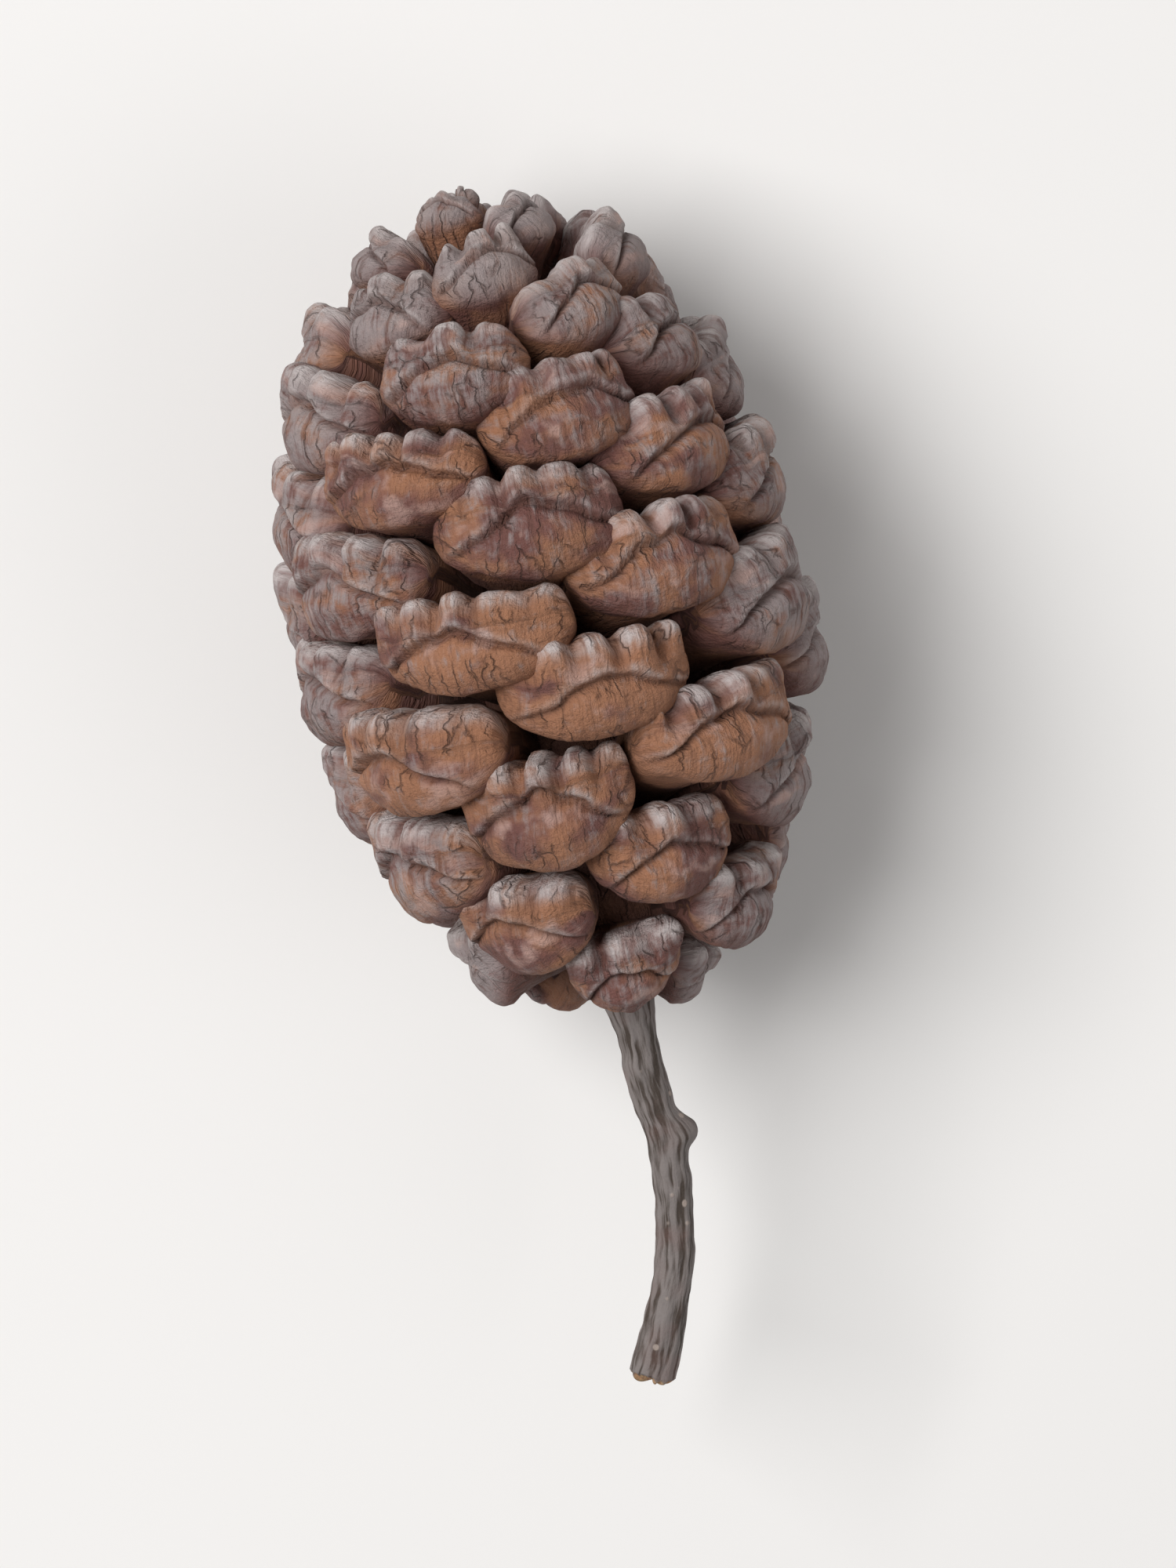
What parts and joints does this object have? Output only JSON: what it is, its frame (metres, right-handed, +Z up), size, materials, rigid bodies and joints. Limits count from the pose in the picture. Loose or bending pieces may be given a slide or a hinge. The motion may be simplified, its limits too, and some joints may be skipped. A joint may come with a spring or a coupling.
{
  "type": "alder cone",
  "caption": "Woody egg-shaped alder cone lying on its side: lobed, thick-lipped scales in spiral tiers with narrow gaps, on a short bent stalk; natural decoration.",
  "frame": {"origin": "bottom centre of the bounding box, on the surface the cone lies on", "axes": "+Y along the cone's axis from stalk to apex, +Z up from the surface"},
  "size_m": [0.0128, 0.0288, 0.0123],
  "materials": {
    "woody_scale": "dry weathered, matt",
    "stalk_bark": "dry bark, matt"
  },
  "bodies": {
    "root": {"scales_on_axis": "woody_scale", "stalk": "stalk_bark"}
  },
  "joints": []
}
